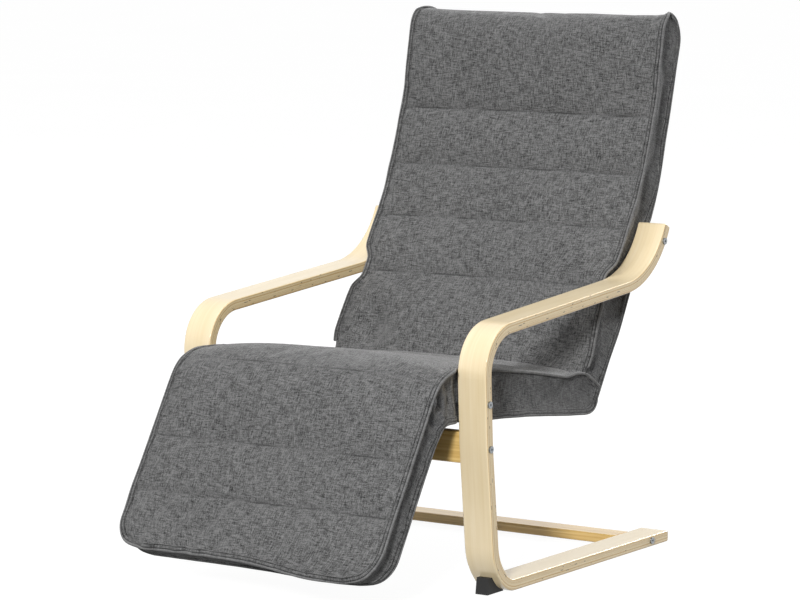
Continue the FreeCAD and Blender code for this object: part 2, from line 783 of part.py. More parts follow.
# Seat pad: cut back along the back pad's face, and rolled over the knee round the hinge axis
seat_pad_low = rail_top + pad_gap
seat_pad_face = back_thick + pad_gap
seat_rear_low = back(back_run_on_seat(seat_pad_face, seat_pad_low), seat_pad_face)
seat_rear_high = back(back_run_on_seat(seat_pad_face, seat_rear_thick), seat_pad_face)
seat_top_front = hinge_height + knee_radius
seat_flat_end = seat_rail_end - plate_eye_radius
seat_shoulder = hinge_height + knee_pad_inner
seat_sections = [pad_section(seat_rear_low, seat_rear_high, cover_half_width, knee_crown, side_draw)]
for step in range(seat_station_count):
    share = (step + 1) / seat_station_count
    run = back_thick + share * (seat_flat_end - back_thick)
    top = seat_rear_thick + (seat_top_front - seat_rear_thick) * run / hinge_run
    half_width = cover_half_width - side_draw * narrowing(share)
    crown = knee_crown + (seat_crown - knee_crown) * narrowing(share)
    seat_sections.append(pad_section(seat(run, seat_pad_low), seat(run, top),
                                     half_width, crown, side_draw))
for step in range(knee_station_count + 1):
    angle = knee_pad_sweep * step / knee_station_count
    seat_sections.append(pad_section(knee(angle, knee_pad_inner), knee(angle, knee_radius),
                                     cover_half_width, knee_crown, side_draw))
seat_pad = Part.makeLoft(seat_sections, True, True)
notch_inner_x = ratchet_inner_x - detent_width
notch_outer_x = rail_inner_x + pin_head_thick
notch_reach = knee_radius + footrest_crown
notch_start = knee_pad_sweep / 2
notch = polygon([
    knee(notch_start, plate_eye_radius),
    knee(notch_start, notch_reach),
    knee(knee_pad_sweep, notch_reach),
    knee(knee_pad_sweep + plate_eye_radius, plate_eye_radius),
], notch_inner_x, notch_outer_x)
seat_pad = seat_pad.cut(back_pad(pad_face_gap, rail_middle))
save("seat_cushion", seat_pad.cut(notch).cut(mirrored(notch)).cut(pinch))

# Footrest frame: rails hung from the hinge plates, an end rail and slats
footrest_rail_outer_x = footrest_plate_outer_x + rail_width
footrest_rail_end = footrest_length - footrest_end_room
footrest_rail = polygon([
    footrest(footrest_rail_start, footrest_frame_low),
    footrest(footrest_rail_end, footrest_frame_low),
    footrest(footrest_rail_end, footrest_frame_top),
    footrest(footrest_rail_start, footrest_frame_top),
], footrest_plate_outer_x, footrest_rail_outer_x)
footrest_rail_middle = footrest_frame_low + footrest_rail_depth / 2
plate_shoulder = footrest_rail_start - cover_room
footrest_plate_end = footrest_plate_length - plate_eye_radius
tail_half = footrest_rail_depth / 2 - cover_room
footrest_plate = polygon([
    footrest(0, -plate_eye_radius),
    footrest(plate_shoulder, footrest_rail_middle - tail_half),
    footrest(footrest_plate_end, footrest_rail_middle - tail_half),
    footrest(footrest_plate_end, footrest_rail_middle + tail_half),
    footrest(plate_shoulder, footrest_rail_middle + tail_half),
    footrest(0, plate_eye_radius),
], footrest_plate_inner_x, footrest_plate_outer_x)
footrest_plate = footrest_plate.fuse(
    rod(plate_eye_radius, hinge, footrest_plate_inner_x, footrest_plate_outer_x)).removeSplitter()
footrest_plate = footrest_plate.cut(
    rod(pin_radius + pin_play, hinge, footrest_plate_inner_x, footrest_plate_outer_x))
footrest_screw_places = [
    footrest(footrest_plate_end - plate_tail_width / 2, footrest_rail_middle),
    footrest(footrest_rail_start + plate_tail_width, footrest_rail_middle),
]
for place in footrest_screw_places:
    hole = screw_hole(place, footrest_plate_inner_x, 1)
    footrest_plate = footrest_plate.cut(hole)
    footrest_rail = footrest_rail.cut(hole)
save_pair("footrest_rail", footrest_rail)
save_pair("hinge_footrest_plate", footrest_plate)
save_group("hinge_footrest_screws",
           [screw(place, footrest_plate_inner_x, 1) for place in footrest_screw_places])

# Detent springs: leaves on the footrest plates whose noses drop into the ratchet notches
detent_outer_x = footrest_plate_inner_x
detent_inner_x = detent_outer_x - detent_width
nose_radius = ratchet_notch_radius - pin_play
nose_run = ratchet_radius
leaf_start = nose_run + ratchet_notch_radius
detent = polygon([
    footrest(leaf_start, -detent_thick / 2),
    footrest(leaf_start + detent_length, footrest_rail_middle - detent_thick / 2),
    footrest(leaf_start + detent_length, footrest_rail_middle + detent_thick / 2),
    footrest(leaf_start, detent_thick / 2),
], detent_inner_x, detent_outer_x)
detent_nose = rod(nose_radius, footrest(nose_run, 0), detent_inner_x, ratchet_outer_x)
detent_link = polygon([
    footrest(nose_run, -detent_thick / 2),
    footrest(leaf_start + detent_thick, -detent_thick / 2),
    footrest(leaf_start + detent_thick, detent_thick / 2),
    footrest(nose_run, detent_thick / 2),
], detent_inner_x, ratchet_outer_x)
save_pair("detent_spring", detent.fuse(detent_nose).fuse(detent_link).removeSplitter())


def footrest_box(start, end, low, high):
    """A cross piece of the footrest between its rails."""
    return polygon([footrest(start, low), footrest(end, low), footrest(end, high), footrest(start, high)],
                   -footrest_plate_outer_x, footrest_plate_outer_x)


end_rail_start = footrest_rail_end - cross_rail_thick
footrest_end_rail = footrest_box(end_rail_start, footrest_rail_end, footrest_frame_low, footrest_frame_top)
save("footrest_end_rail", footrest_end_rail)
footrest_slat_first = footrest_plate_length
footrest_slat_room = end_rail_start - footrest_slat_first
footrest_slat_gap = (footrest_slat_room - footrest_slat_count * footrest_slat_width) / footrest_slat_count
for slat in range(footrest_slat_count):
    slat_start = footrest_slat_first + slat * (footrest_slat_width + footrest_slat_gap)
    footrest_slat = footrest_box(slat_start, slat_start + footrest_slat_width,
                                 footrest_frame_top - slat_thick, footrest_frame_top)
    save("footrest_slat_%d" % (slat + 1), footrest_slat)


# Footrest cover: rear panel and boxing, with rounded lower corners
def footrest_tray(start, end, half_width, corner_radius, low, high):
    """A slab of the footrest with its two lower corners rounded, between two heights."""
    def place(x, run):
        return at_x(x, footrest(run, low))

    corner_run = end - corner_radius
    corner_x = half_width - corner_radius
    slant = corner_radius * math.sqrt(0.5)
    outline = Part.Wire([
        line(place(-half_width, start), place(half_width, start)),
        line(place(half_width, start), place(half_width, corner_run)),
        arc(place(half_width, corner_run), place(corner_x + slant, corner_run + slant),
            place(corner_x, end)),
        line(place(corner_x, end), place(-corner_x, end)),
        arc(place(-corner_x, end), place(-corner_x - slant, corner_run + slant),
            place(-half_width, corner_run)),
        line(place(-half_width, corner_run), place(-half_width, start)),
    ])
    return Part.Face(outline).extrude(at_x(0, footrest_up) * (high - low))


lip_clear = knee_radius + knee_crown + 2 * pad_gap
footrest_cover = footrest_tray(lip_clear, footrest_length, cover_half_width,
                               footrest_corner_radius, footrest_rear, footrest_frame_top)
footrest_cover = footrest_cover.cut(footrest_tray(
    0, footrest_length - cover_wall, cover_half_width - cover_wall, footrest_corner_radius - cover_wall,
    footrest_rear + cover_wall, footrest_frame_top + cover_wall))
save("footrest_cover", footrest_cover)

# Footrest pad: its upper end rides clear round the knee, its lower corners are rounded
footrest_pad_low = footrest_frame_top + pad_gap
lip_slant = unit((footrest_pad_low, 0), (knee_radius, knee_radius - footrest_pad_low))
lip_low_run = (lip_clear - footrest_pad_low * lip_slant[0]) / lip_slant[1]
lip_high_run = lip_low_run - (knee_radius - footrest_pad_low)
corner_start = footrest_length - footrest_corner_radius
footrest_seams = [footrest_first_channel + footrest_channel_spacing * seam for seam in (0, 1)]
footrest_lip = pad_section(footrest(lip_low_run, footrest_pad_low), footrest(lip_high_run, knee_radius),
                           cover_half_width, knee_crown, side_draw)
footrest_sections = [footrest_lip]
footrest_span = footrest_length - lip_low_run
for run, sunk in panel_places([lip_low_run] + footrest_seams + [corner_start])[1:]:
    share = (run - lip_low_run) / footrest_span
    crown = knee_crown + (footrest_crown - knee_crown) * narrowing(share)
    half_width = cover_half_width - side_draw * narrowing(share)
    top = knee_radius - channel_depth * sunk
    footrest_sections.append(pad_section(footrest(run, footrest_pad_low), footrest(run, top),
                                         half_width, crown, side_draw))
for angle in (30, 55, 75, 90):
    turn = math.radians(angle)
    run = corner_start + footrest_corner_radius * math.sin(turn)
    half_width = cover_half_width - footrest_corner_radius * (1 - math.cos(turn))
    crown = knee_crown + (footrest_crown - knee_crown) * narrowing((run - lip_low_run) / footrest_span)
    footrest_sections.append(pad_section(footrest(run, footrest_pad_low), footrest(run, knee_radius),
                                         half_width, crown, side_draw * math.cos(turn) + pad_gap))
save("footrest_cushion", Part.makeLoft(footrest_sections, True, True))

print("hinge axis y %.3f z %.3f" % hinge)
print("seat corner y %.3f z %.3f" % seat_corner)
print("low lean %.3f degrees, back bend run %.3f" % (math.degrees(low_lean), back_bend_run))
print("arm bolt y %.3f z %.3f" % arm_bolt)
print("seat bolt y %.3f z %.3f" % seat_bolt)
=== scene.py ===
import math
import bpy
import bmesh
import numpy as np
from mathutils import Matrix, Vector, noise
from mathutils.bvhtree import BVHTree


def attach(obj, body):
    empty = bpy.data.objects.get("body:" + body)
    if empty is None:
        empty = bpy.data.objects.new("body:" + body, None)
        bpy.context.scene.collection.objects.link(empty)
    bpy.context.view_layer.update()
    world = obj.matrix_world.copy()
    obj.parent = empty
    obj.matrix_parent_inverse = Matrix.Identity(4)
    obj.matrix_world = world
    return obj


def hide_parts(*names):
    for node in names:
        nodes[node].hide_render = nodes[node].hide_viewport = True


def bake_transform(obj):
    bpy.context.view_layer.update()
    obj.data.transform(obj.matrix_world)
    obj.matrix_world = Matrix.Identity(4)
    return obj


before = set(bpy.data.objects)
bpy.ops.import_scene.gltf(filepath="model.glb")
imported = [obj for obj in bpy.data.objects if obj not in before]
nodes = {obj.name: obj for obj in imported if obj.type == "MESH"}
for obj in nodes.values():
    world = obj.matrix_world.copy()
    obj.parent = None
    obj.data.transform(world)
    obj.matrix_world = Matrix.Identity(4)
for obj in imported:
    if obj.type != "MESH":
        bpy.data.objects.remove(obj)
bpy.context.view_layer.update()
scene = bpy.context.scene


# Studio camera: a long lens almost seven metres away, a little above the armrests, on the
# sitter's left and in front.
view_azimuth = math.radians(33.597)
view_rise = math.radians(7.041)
view_distance = 6.658
view_target = Vector((-0.0013, -0.0295, 0.4936))
view_line = Vector((math.sin(view_azimuth) * math.cos(view_rise),
                    -math.cos(view_azimuth) * math.cos(view_rise), math.sin(view_rise)))
camera = bpy.data.objects.new("camera", bpy.data.cameras.new("camera"))
camera.location = view_target + view_line * view_distance
camera.rotation_euler = view_line.to_track_quat("Z", "Y").to_euler()
camera.data.sensor_width = 36.0
camera.data.lens = 159.68
scene.collection.objects.link(camera)
scene.camera = camera


# Studio floor and light: a seamless white sweep, a soft box high in front on the sitter's
# left, one overhead, a smaller one behind, and a pale room that fills the shadows.
def linear(hex_colour):
    """An sRGB hex colour as linear RGBA."""
    parts = [int(hex_colour[i:i + 2], 16) / 255 for i in (1, 3, 5)]
    return tuple(c / 12.92 if c <= 0.04045 else ((c + 0.055) / 1.055) ** 2.4 for c in parts) + (1.0,)


def add_node(tree, kind, inputs=None, **settings):
    """Adds one node, with its settings, and links or sets its inputs."""
    made = tree.nodes.new(kind)
    for key, value in settings.items():
        setattr(made, key, value)
    for key, value in (inputs or {}).items():
        if isinstance(value, bpy.types.NodeSocket):
            tree.links.new(value, made.inputs[key])
        else:
            made.inputs[key].default_value = value
    return made


def maths(tree, operation, *values):
    """One sum on numbers or sockets."""
    return add_node(tree, "ShaderNodeMath", dict(enumerate(values)), operation=operation).outputs[0]


def vector_maths(tree, operation, *values):
    """One sum on vectors or sockets; a dot product, a length and a distance give a number."""
    made = add_node(tree, "ShaderNodeVectorMath", dict(enumerate(values)), operation=operation)
    return made.outputs["Value" if operation in ("DOT_PRODUCT", "LENGTH", "DISTANCE") else "Vector"]


def span(tree, value, start=0.0, end=1.0, low=0.0, high=1.0):
    """Maps start to end of a socket's values onto low to high."""
    limits = {"Value": value, "From Min": start, "From Max": end, "To Min": low, "To Max": high}
    return add_node(tree, "ShaderNodeMapRange", limits).outputs[0]


def mixed(tree, share, first, second):
    """A mix of two colours, each a hex colour or a socket."""
    first, second = (linear(colour) if isinstance(colour, str) else colour for colour in (first, second))
    made = add_node(tree, "ShaderNodeMix", {"Factor": share, 6: first, 7: second}, data_type="RGBA")
    return made.outputs[2]


def new_material(name):
    """An empty material, ready for its nodes."""
    material = bpy.data.materials.new(name)
    material.use_nodes = True
    material.node_tree.nodes.clear()
    return material, material.node_tree


def seen_directly(tree):
    """1 for what the camera sees straight, mirrored or through a pane, and 0 for light on the pieces."""
    path = add_node(tree, "ShaderNodeLightPath")
    seen = maths(tree, "MAXIMUM", path.outputs["Is Camera Ray"], path.outputs["Is Glossy Ray"])
    return maths(tree, "MAXIMUM", seen, path.outputs["Is Transmission Ray"])


floor_glow = 0.93
floor_reach = 30
room_fill = 0.39
floor_material, tree = new_material("white_paper_sweep")
seen = seen_directly(tree)
paper_fibre = add_node(tree, "ShaderNodeTexNoise", {"Scale": 60.0, "Detail": 2.0})
paper = mixed(tree, paper_fibre.outputs["Fac"], "#6A6A6A", "#727272")
paper_face = add_node(tree, "ShaderNodeBsdfDiffuse", {"Color": paper})
glow = add_node(tree, "ShaderNodeEmission", {"Strength": maths(tree, "MULTIPLY", seen, floor_glow)})
both = add_node(tree, "ShaderNodeAddShader", {0: paper_face.outputs[0], 1: glow.outputs[0]})
add_node(tree, "ShaderNodeOutputMaterial", {"Surface": both.outputs[0]})

sweep = bpy.data.meshes.new("floor")
sweep.from_pydata([(x * floor_reach, y * floor_reach, 0) for x, y in ((-1, -1), (1, -1), (1, 1), (-1, 1))],
                  [], [(0, 1, 2, 3)])
floor = bpy.data.objects.new("floor", sweep)
sweep.materials.append(floor_material)
scene.collection.objects.link(floor)

room = bpy.data.worlds.new("studio_room")
room.use_nodes = True
tree = room.node_tree
tree.nodes.clear()
level = span(tree, seen_directly(tree), low=room_fill, high=1.0)
walls = add_node(tree, "ShaderNodeBackground", {"Color": linear("#FFFFFF"), "Strength": level})
add_node(tree, "ShaderNodeOutputWorld", {"Surface": walls.outputs[0]})
scene.world = room

lamp_target = Vector((0, 0, 0.45))
lamps = (
    ("soft_box", (3.5, -9.2, 4.05), 1.3, 800.0),
    ("overhead", (-0.6, -0.2, 6.5), 3.5, 135.0),
    ("rear_light", (0.6, 4.6, 2.2), 1.8, 130.0),
)
for lamp_name, place, size, power in lamps:
    lamp = bpy.data.objects.new(lamp_name, bpy.data.lights.new(lamp_name, "AREA"))
    lamp.location = place
    lamp.data.size = size
    lamp.data.energy = power
    lamp.rotation_euler = (Vector(place) - lamp_target).to_track_quat("Z", "Y").to_euler()
    scene.collection.objects.link(lamp)
scene.view_settings.view_transform = "Standard"


# Bent side frames: each arm, leg and runner is one board of glued birch veneers, pressed to
# shape, sanded and lacquered. The broad faces are pale; the sawn edges show every veneer.
def object_place(tree):
    """A place on a piece, in metres."""
    return add_node(tree, "ShaderNodeTexCoord").outputs["Object"]


def clouds(tree, place, scale, detail, more=None, **settings):
    """Noise at a place, 0 to 1. A scale of three numbers stretches it."""
    if isinstance(scale, tuple):
        place = add_node(tree, "ShaderNodeMapping", {0: place, "Scale": scale}).outputs[0]
        scale = 1.0
    inputs = {"Vector": place, "Scale": scale, "Detail": detail, **(more or {})}
    return add_node(tree, "ShaderNodeTexNoise", inputs, **settings).outputs["Fac"]


def bumped(tree, height, strength, distance):
    """A surface direction roughened by a height."""
    return add_node(tree, "ShaderNodeBump", {"Height": height, "Strength": strength,
                                             "Distance": distance}).outputs[0]


def surface(tree, colour, inputs):
    """Ends a material with a surface of one colour."""
    face = add_node(tree, "ShaderNodeBsdfPrincipled", {"Base Color": colour, **inputs})
    add_node(tree, "ShaderNodeOutputMaterial", {"Surface": face.outputs[0]})


# Side view of the board, in metres: a bend's centre, the directions into the leg and into the
# flat run, and the outer radius; and the bend at the arm's rear, with its inner radius
veneer = 0.0015
glue_share = 0.14
bend_lines = {
    "front": ((-0.1699, 0.4007), (0.99892, 0.04643), (0.07278, -0.99735), 0.091),
    "foot": ((-0.1583, 0.0760), (0.99470, 0.10310), (0.0, 1.0), 0.076),
}
rear_bend = (0.2313, 0.6866, 0.165)
rear_bend_start = 0.243
leg_middle = 0.272

birch, tree = new_material("lacquered_bent_birch")
where = object_place(tree)
axes = add_node(tree, "ShaderNodeSeparateXYZ", {0: where}).outputs
depths = {}
for bend, (centre, leg_in, flat_in, radius) in bend_lines.items():
    offset = vector_maths(tree, "SUBTRACT", where, (0, *centre))
    parts = {}
    for number, inward in enumerate((leg_in, flat_in)):
        outward = vector_maths(tree, "DOT_PRODUCT", offset, (0, -inward[0], -inward[1]))
        parts[number] = maths(tree, "MAXIMUM", outward, 0.0)
    corner = add_node(tree, "ShaderNodeCombineXYZ", parts).outputs[0]
    depths[bend] = maths(tree, "SUBTRACT", radius, vector_maths(tree, "LENGTH", corner))
side_place = add_node(tree, "ShaderNodeCombineXYZ", {1: axes[1], 2: axes[2]}).outputs[0]
rear_reach = vector_maths(tree, "DISTANCE", side_place, (0, rear_bend[0], rear_bend[1]))
rear_depth = maths(tree, "SUBTRACT", rear_reach, rear_bend[2])
is_high = maths(tree, "GREATER_THAN", axes[2], leg_middle)
is_rear = maths(tree, "GREATER_THAN", axes[1], rear_bend_start)
is_rear_arm = maths(tree, "MULTIPLY", is_rear, is_high)
depth = add_node(tree, "ShaderNodeMix", {"Factor": is_high, 2: depths["foot"], 3: depths["front"]}).outputs[0]
depth = add_node(tree, "ShaderNodeMix", {"Factor": is_rear_arm, 2: depth, 3: rear_depth}).outputs[0]
# Each veneer has its own tone, and a thin dark glue line next to it
veneers = maths(tree, "DIVIDE", depth, veneer)
veneer_number = maths(tree, "FLOOR", veneers)
in_veneer = maths(tree, "FRACT", veneers)
veneer_tone = add_node(tree, "ShaderNodeTexWhiteNoise", {"W": veneer_number}, noise_dimensions="1D")
along_edge = add_node(tree, "ShaderNodeCombineXYZ", {0: veneer_number, 1: axes[1], 2: axes[2]}).outputs[0]
edge_streak = clouds(tree, along_edge, (7.3, 14, 14), 3.0)
tone = maths(tree, "ADD", veneer_tone.outputs["Value"], edge_streak)
edge_tone = mixed(tree, span(tree, tone, 0.35, 1.55), "#DAB16C", "#FFEDC2")
glue = maths(tree, "MULTIPLY", maths(tree, "LESS_THAN", in_veneer, glue_share), 0.38)
edge_colour = mixed(tree, glue, edge_tone, "#8F6A3A")
# A few open gaps between veneers show as short dark dashes
gap_noise = clouds(tree, along_edge, (3.1, 46, 46), 1.0)
edge_colour = mixed(tree, span(tree, gap_noise, 0.70, 0.72, 0.0, 0.8), edge_colour, "#4A3115")
# Rotary-cut face veneer: grain streaks about 4 mm wide run with the board, over broad soft figure
face_streak = clouds(tree, where, (240, 5, 5), 4.0, {"Distortion": 0.3})
figure = clouds(tree, where, (34, 7, 7), 2.0)
face_tone = maths(tree, "ADD", face_streak, figure)
face_colour = mixed(tree, span(tree, face_tone, 0.7, 1.35), "#EED9AE", "#F8E6C2")
true_normal = add_node(tree, "ShaderNodeNewGeometry").outputs["True Normal"]
across = add_node(tree, "ShaderNodeSeparateXYZ", {0: true_normal}).outputs[0]
is_edge = span(tree, maths(tree, "ABSOLUTE", across), 0.45, 0.8)
surface(tree, mixed(tree, is_edge, face_colour, edge_colour), {
    "Roughness": span(tree, face_streak, low=0.34, high=0.46),
    "Normal": bumped(tree, face_streak, 0.06, 0.0004), "IOR": 1.5, "Coat Weight": 0.7, "Coat Roughness": 0.2})


def finish_nodes(names, material):
    """Gives named pieces of the frame one finish."""
    for name in names:
        nodes[name].data.materials.clear()
        nodes[name].data.materials.append(material)


finish_nodes(("left_side_frame", "right_side_frame"), birch)


# Crossbars: solid birch boards planed and lacquered, bolted between the two side frames, one on
# edge under the knee and one flat between the runners. The grain runs across the chair.
bar_birch, tree = new_material("lacquered_solid_birch")
grain = clouds(tree, object_place(tree), (4, 210, 210), 4.0, {"Distortion": 0.4})
bar_colour = mixed(tree, span(tree, grain, 0.3, 0.7), "#D8AC5A", "#FCD88E")
surface(tree, bar_colour, {
    "Roughness": span(tree, grain, low=0.36, high=0.5), "Normal": bumped(tree, grain, 0.08, 0.0004),
    "IOR": 1.5, "Coat Weight": 0.8, "Coat Roughness": 0.2})
finish_nodes(("front_crossbar", "rear_crossbar"), bar_birch)


# Front feet: moulded black rubber wedges under the front bends, matte with a fine grain.
rubber, tree = new_material("moulded_rubber")
rubber_grain = clouds(tree, object_place(tree), 900.0, 3.0)
surface(tree, mixed(tree, rubber_grain, "#141414", "#242424"), {
    "Roughness": span(tree, rubber_grain, low=0.55, high=0.8),
    "Normal": bumped(tree, rubber_grain, 0.2, 0.0003), "IOR": 1.5})
finish_nodes(("left_front_foot", "right_front_foot"), rubber)


# Bolts, nuts, screws, brackets, hinge plates and ratchets: pressed and turned steel, bright zinc
# plated, with faint mottling.
zinc, tree = new_material("zinc_plated_steel")
mottle = clouds(tree, object_place(tree), 420.0, 4.0)
surface(tree, mixed(tree, mottle, "#74787C", "#AEB2B5"), {
    "Roughness": span(tree, mottle, low=0.2, high=0.42), "Normal": bumped(tree, mottle, 0.1, 0.0002),
    "Metallic": 1.0})
steel_ends = ("bolts", "nuts", "screws", "spacers", "bracket", "plate", "pin", "wheel", "spring")
finish_nodes([name for name in nodes if name.endswith(steel_ends)], zinc)


# Inner frame of the seat, back and footrest: planed softwood rails, uprights and slats, left
# unfinished because the cover hides them.
softwood, tree = new_material("planed_softwood")
rings = clouds(tree, object_place(tree), (9, 130, 130), 3.0, {"Distortion": 0.8})
surface(tree, mixed(tree, rings, "#B98F57", "#DEBE8A"), {
    "Normal": bumped(tree, rings, 0.15, 0.0005), "Roughness": 0.7, "IOR": 1.5})
finish_nodes([name for name in nodes if "slat" in name or "rail" in name or "upright" in name], softwood)


# Cover cloth: a plain linen-look weave of dark, mid and pale grey yarns. The slubby yarns give
# short pale and dark dashes both ways; the yarn spacing is drawn at 1.3 mm so that it shows.
yarn = 0.0013
slub_lengths = (0.024, 0.020)
start_spread = 60.0
wander = 0.0008
wave_scale = 0.314 / yarn
cloth, tree = new_material("grey_melange_weave")
weave_map = add_node(tree, "ShaderNodeUVMap", uv_map="weave").outputs[0]
flow = add_node(tree, "ShaderNodeTexNoise", {"Vector": weave_map, "Scale": 35.0, "Detail": 1.0})
flow_shift = vector_maths(tree, "SUBTRACT", flow.outputs["Color"], (0.5, 0.5, 0.5))
flow_shift = vector_maths(tree, "MULTIPLY", flow_shift, (wander, wander, wander))
weave_place = vector_maths(tree, "ADD", weave_map, flow_shift)
weave_axes = add_node(tree, "ShaderNodeSeparateXYZ", {0: weave_place}).outputs
slubs = []
lanes = {}
for along, slub_length in enumerate(slub_lengths):
    lane = maths(tree, "FLOOR", maths(tree, "DIVIDE", weave_axes[1 - along], yarn))
    lanes[along] = lane
    lane_start = add_node(tree, "ShaderNodeTexWhiteNoise", {"W": lane}, noise_dimensions="1D")
    dash = maths(tree, "DIVIDE", weave_axes[along], slub_length)
    dash = maths(tree, "MULTIPLY_ADD", lane_start.outputs["Value"], start_spread, dash)
    slub_place = add_node(tree, "ShaderNodeCombineXYZ", {0: dash, 1: lane}).outputs[0]
    slubs.append(clouds(tree, slub_place, 1.0, 1.0, {"Roughness": 0.6}, noise_dimensions="2D"))
warp_wave, weft_wave = (add_node(tree, "ShaderNodeTexWave", {"Vector": weave_place, "Scale": wave_scale},
                                 bands_direction=way).outputs["Fac"] for way in ("X", "Y"))
over_under = maths(tree, "MULTIPLY", warp_wave, weft_wave)
slub_sum = maths(tree, "ADD", *slubs)
wear = clouds(tree, weave_map, 9.0, 3.0)
tone = maths(tree, "ADD", slub_sum, maths(tree, "MULTIPLY", wear, 0.15))
# At each crossing either the paler or the darker yarn lies on top
crossing_place = add_node(tree, "ShaderNodeCombineXYZ", lanes).outputs[0]
crossing = add_node(tree, "ShaderNodeTexWhiteNoise", {"Vector": crossing_place}, noise_dimensions="2D")
tone = maths(tree, "MULTIPLY_ADD", crossing.outputs["Value"], 0.36, tone)
cloth_colour = mixed(tree, span(tree, tone, 0.90, 1.60), "#303030", "#828282")
# On a seam strip the two stitch lines are drawn in and get painted shade, dark as their grooves in shadow,
# and the outer fold gets a painted highlight that makes it paler
seam_offset = 6.0
strip_edge = -0.05
stitch_shade_lines = (0.0010, 0.0074)
flat_axes = add_node(tree, "ShaderNodeSeparateXYZ", {0: weave_map}).outputs
strip_place = maths(tree, "SUBTRACT", flat_axes[0], seam_offset)
# Painted shade on the sewn channels: the front rows where a channel is stitched are mixed towards near black,
# as a shadowed groove
groove_shade_share = add_node(tree, "ShaderNodeAttribute", attribute_name="painted_groove_shade").outputs["Fac"]
shade = mixed(tree, maths(tree, "MULTIPLY", groove_shade_share, 0.7), cloth_colour, "#161616")
# Painted shade along each stitch line, darkest on the line itself
for line_place in stitch_shade_lines:
    off_line = maths(tree, "ABSOLUTE", maths(tree, "SUBTRACT", strip_place, line_place))
    shade = mixed(tree, span(tree, off_line, 0.0004, 0.0016, 0.75, 0.0), shade, "#161616")
# Painted highlight: the outer fold of the strip is mixed towards a paler grey
on_strip = maths(tree, "GREATER_THAN", strip_place, strip_edge)
fold_highlight = span(tree, strip_place, -0.0012, 0.0, 0.4, 0.0)
cloth_colour = mixed(tree, maths(tree, "MULTIPLY", on_strip, fold_highlight), shade, "#8E8E8E")
weave_height = maths(tree, "ADD", over_under, slub_sum)
surface(tree, cloth_colour, {
    "Normal": bumped(tree, weave_height, 0.5, 0.0006), "Roughness": 0.92, "IOR": 1.45,
    "Specular IOR Level": 0.25, "Sheen Weight": 0.3, "Sheen Roughness": 0.4})


# Back: a tall padded sleeve of the cover, pulled over the back frame from the top. The front
# cloth rolls over the head and down the rear; sewn cross channels hold the wadding in place.
cell = 0.0072
half_width = 0.286
pinched_width = 0.2705
board_middle = 0.305
board_clear = 0.003
near_ramp, near_weight = 0.022, 0.8
far_ramp, far_weight = 0.090, 0.2
board_tree = BVHTree.FromPolygons([v.co for v in nodes["left_side_frame"].data.vertices],
                                  [p.vertices for p in nodes["left_side_frame"].data.polygons])


def ease(value):
    """A share kept within 0 to 1, with soft ends."""
    share = min(max(value, 0), 1)
    return share * share * (3 - 2 * share)


def side_limit(y, z):
    """Half the cover's width at a place of the side view: pinched in where a bent board passes."""
    place = Vector((board_middle, y, z))
    near, normal, index, gap = board_tree.find_nearest(place)
    if (place - near).dot(normal) < 0:
        gap = -gap
    free = gap - board_clear
    share = near_weight * ease(free / near_ramp) + far_weight * ease(free / far_ramp)
    return pinched_width + (half_width - pinched_width) * share


def sewn_object(name, mesh):
    """A piece of cover cloth from a mesh, with its faces turned outwards."""
    turned = bmesh.new()
    turned.from_mesh(mesh)
    bmesh.ops.recalc_face_normals(turned, faces=turned.faces)
    turned.to_mesh(mesh)
    turned.free()
    mesh.polygons.foreach_set("use_smooth", [True] * len(mesh.polygons))
    mesh.materials.append(cloth)
    made = bpy.data.objects.new(name, mesh)
    scene.collection.objects.link(made)
    return made


def padded_form(name, counts, sizes, place, sewn_rows):
    """A closed form of six sewn panels: place(across, along, depth) gives each point, all shares 0 to 1."""
    across, along, deep = counts
    index = {}
    points = []
    panels = []

    def corner(i, j, k):
        if (i, j, k) not in index:
            index[i, j, k] = len(points)
            points.append(place(i / across, j / along, k / deep))
        return index[i, j, k]

    def panel(first, second, fixed, level, flat):
        for a in range(counts[first]):
            for b in range(counts[second]):
                quad = []
                for da, db in ((0, 0), (1, 0), (1, 1), (0, 1)):
                    at = [0, 0, 0]
                    at[first], at[second], at[fixed] = a + da, b + db, level
                    quad.append((corner(*at), ((a + da) * sizes[first] / counts[first] + flat[0],
                                               (b + db) * sizes[second] / counts[second] + flat[1])))
                panels.append(quad)

    panel(0, 1, 2, deep, (0, 0))
    panel(0, 1, 2, 0, (0, 3))
    panel(2, 1, 0, 0, (2, 0))
    panel(2, 1, 0, across, (3, 0))
    panel(0, 2, 1, 0, (4, 0))
    panel(0, 2, 1, along, (5, 0))
    mesh = bpy.data.meshes.new(name)
    mesh.from_pydata(points, [], [[c[0] for c in quad] for quad in panels])
    flat_map = mesh.uv_layers.new(name="weave")
    flat_map.data.foreach_set("uv", [value for quad in panels for c in quad for value in c[1]])
    made = sewn_object(name, mesh)
    # Painted shade: the front rows of the sewn channels get a share, 0 to 1, that darkens the cloth like a
    # shadowed groove
    sewn = mesh.attributes.new("painted_groove_shade", "FLOAT", "POINT")
    for (i, j, k), number in index.items():
        if k == deep and j in sewn_rows and 2 < i < across - 2:
            sewn.data[number].value = min(max(0.5 + 1.6 * noise.noise((i * 0.11, j * 3.3, 1.5)), 0), 1)
    return made, index


